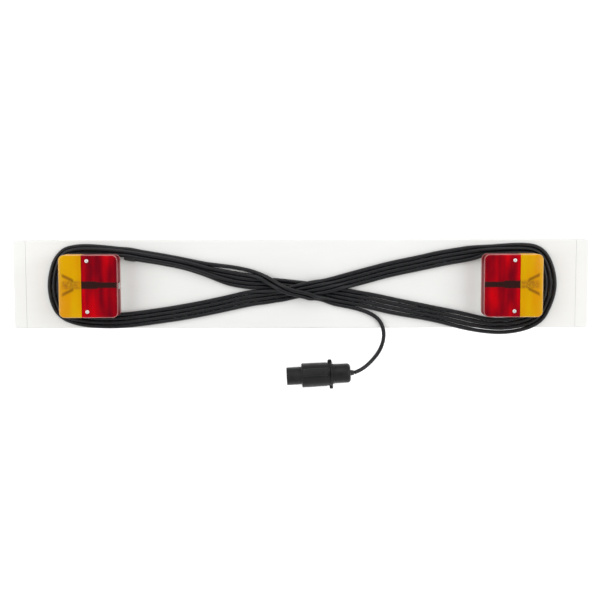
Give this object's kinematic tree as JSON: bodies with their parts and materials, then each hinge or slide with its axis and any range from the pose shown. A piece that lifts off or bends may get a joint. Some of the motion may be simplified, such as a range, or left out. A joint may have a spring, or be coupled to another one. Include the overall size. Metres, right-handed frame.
{
  "type": "trailer lighting board",
  "caption": "White trailer lighting board with square amber and red lamps at its ends, its black lead wound round them in a figure of eight, and a multi-pin plug",
  "frame": {"origin": "centre of the board's back lips, at the bottom centre of its box without the lead and plug", "axes": "+X along the board, +Y across it towards its upper edge, +Z out of its face"},
  "size_m": [0.915, 0.2388, 0.0673],
  "materials": {
    "board_plastic": "satin",
    "lamp_base_plastic": "satin",
    "amber_lens": "glossy",
    "red_lens": "glossy",
    "clear_window": "glossy",
    "black_rubber": "matte",
    "zinc_steel": "satin",
    "carrier_steel": "satin",
    "holder_steel": "satin",
    "bulb_brass": "satin",
    "bulb_glass": "glossy",
    "cable_sheath": "satin",
    "plug_plastic": "satin",
    "insert_plastic": "matte",
    "pin_brass": "satin"
  },
  "bodies": {
    "board": {"board_panel": "board_plastic", "left_end_cap": "board_plastic", "right_end_cap": "board_plastic", "left_cable_clip": "black_rubber", "right_cable_clip": "black_rubber", "crossover_cable": "cable_sheath", "lead_inner_run": "cable_sheath", "lead_gland": "black_rubber", "cable_winding": "cable_sheath", "cable_tail": "cable_sheath", "left_base_gasket": "black_rubber", "left_lamp_base": "lamp_base_plastic", "left_lens_seal": "black_rubber", "left_bulb_carrier": "carrier_steel", "left_stop_bulb_holder": "holder_steel", "left_indicator_bulb_holder": "holder_steel", "left_mount_bolt_1": "zinc_steel", "left_mount_nut_1": "zinc_steel", "left_mount_bolt_2": "zinc_steel", "left_mount_nut_2": "zinc_steel", "right_base_gasket": "black_rubber", "right_lamp_base": "lamp_base_plastic", "right_lens_seal": "black_rubber", "right_bulb_carrier": "carrier_steel", "right_stop_bulb_holder": "holder_steel", "right_indicator_bulb_holder": "holder_steel", "right_mount_bolt_1": "zinc_steel", "right_mount_nut_1": "zinc_steel", "right_mount_bolt_2": "zinc_steel", "right_mount_nut_2": "zinc_steel", "plug_body": "plug_plastic", "plug_insert": "insert_plastic", "plug_pin_1": "pin_brass", "plug_pin_2": "pin_brass", "plug_pin_3": "pin_brass", "plug_pin_4": "pin_brass", "plug_pin_5": "pin_brass", "plug_pin_6": "pin_brass", "plug_pin_7": "pin_brass", "plug_cable_boot": "black_rubber"},
    "left_lens": {"left_amber_lens": "amber_lens", "left_red_lens": "red_lens", "left_number_plate_window": "clear_window"},
    "right_lens": {"right_amber_lens": "amber_lens", "right_red_lens": "red_lens"},
    "left_upper_lens_screw": {"left_upper_lens_screw": "zinc_steel"},
    "left_lower_lens_screw": {"left_lower_lens_screw": "zinc_steel"},
    "left_stop_bulb": {"left_stop_bulb_cap": "bulb_brass", "left_stop_bulb_glass": "bulb_glass"},
    "left_indicator_bulb": {"left_indicator_bulb_cap": "bulb_brass", "left_indicator_bulb_glass": "bulb_glass"},
    "right_upper_lens_screw": {"right_upper_lens_screw": "zinc_steel"},
    "right_lower_lens_screw": {"right_lower_lens_screw": "zinc_steel"},
    "right_stop_bulb": {"right_stop_bulb_cap": "bulb_brass", "right_stop_bulb_glass": "bulb_glass"},
    "right_indicator_bulb": {"right_indicator_bulb_cap": "bulb_brass", "right_indicator_bulb_glass": "bulb_glass"},
    "plug_rear_cap": {"plug_rear_cap": "plug_plastic"}
  },
  "joints": [
    {"name": "left_lens_lift", "type": "slide", "parent": "board", "child": "left_lens", "axis": [0, 0, 1], "range_m": [0, 0.06]},
    {"name": "left_upper_lens_screw_turn", "type": "hinge", "parent": "left_lens", "child": "left_upper_lens_screw", "pos_m": [-0.3317, 0.0396, 0.066], "axis": [0, 0, 1], "continuous": true},
    {"name": "left_lower_lens_screw_turn", "type": "hinge", "parent": "left_lens", "child": "left_lower_lens_screw", "pos_m": [-0.3317, -0.0396, 0.066], "axis": [0, 0, 1], "continuous": true},
    {"name": "left_stop_bulb_twist", "type": "hinge", "parent": "board", "child": "left_stop_bulb", "pos_m": [-0.3311, 0, 0.0415], "axis": [1, 0, 0], "range_deg": [0, 20]},
    {"name": "left_indicator_bulb_twist", "type": "hinge", "parent": "board", "child": "left_indicator_bulb", "pos_m": [-0.3333, 0, 0.0415], "axis": [-1, 0, 0], "range_deg": [0, 20]},
    {"name": "right_lens_lift", "type": "slide", "parent": "board", "child": "right_lens", "axis": [0, 0, 1], "range_m": [0, 0.06]},
    {"name": "right_upper_lens_screw_turn", "type": "hinge", "parent": "right_lens", "child": "right_upper_lens_screw", "pos_m": [0.3317, 0.0396, 0.066], "axis": [0, 0, 1], "continuous": true},
    {"name": "right_lower_lens_screw_turn", "type": "hinge", "parent": "right_lens", "child": "right_lower_lens_screw", "pos_m": [0.3317, -0.0396, 0.066], "axis": [0, 0, 1], "continuous": true},
    {"name": "right_stop_bulb_twist", "type": "hinge", "parent": "board", "child": "right_stop_bulb", "pos_m": [0.3311, 0, 0.0415], "axis": [-1, 0, 0], "range_deg": [0, 20]},
    {"name": "right_indicator_bulb_twist", "type": "hinge", "parent": "board", "child": "right_indicator_bulb", "pos_m": [0.3333, 0, 0.0415], "axis": [1, 0, 0], "range_deg": [0, 20]},
    {"name": "plug_rear_cap_twist", "type": "hinge", "parent": "board", "child": "plug_rear_cap", "pos_m": [0.0847, -0.1427, 0.0196], "axis": [-0.9985, -0.0541, 0], "range_deg": [0, 30]}
  ]
}
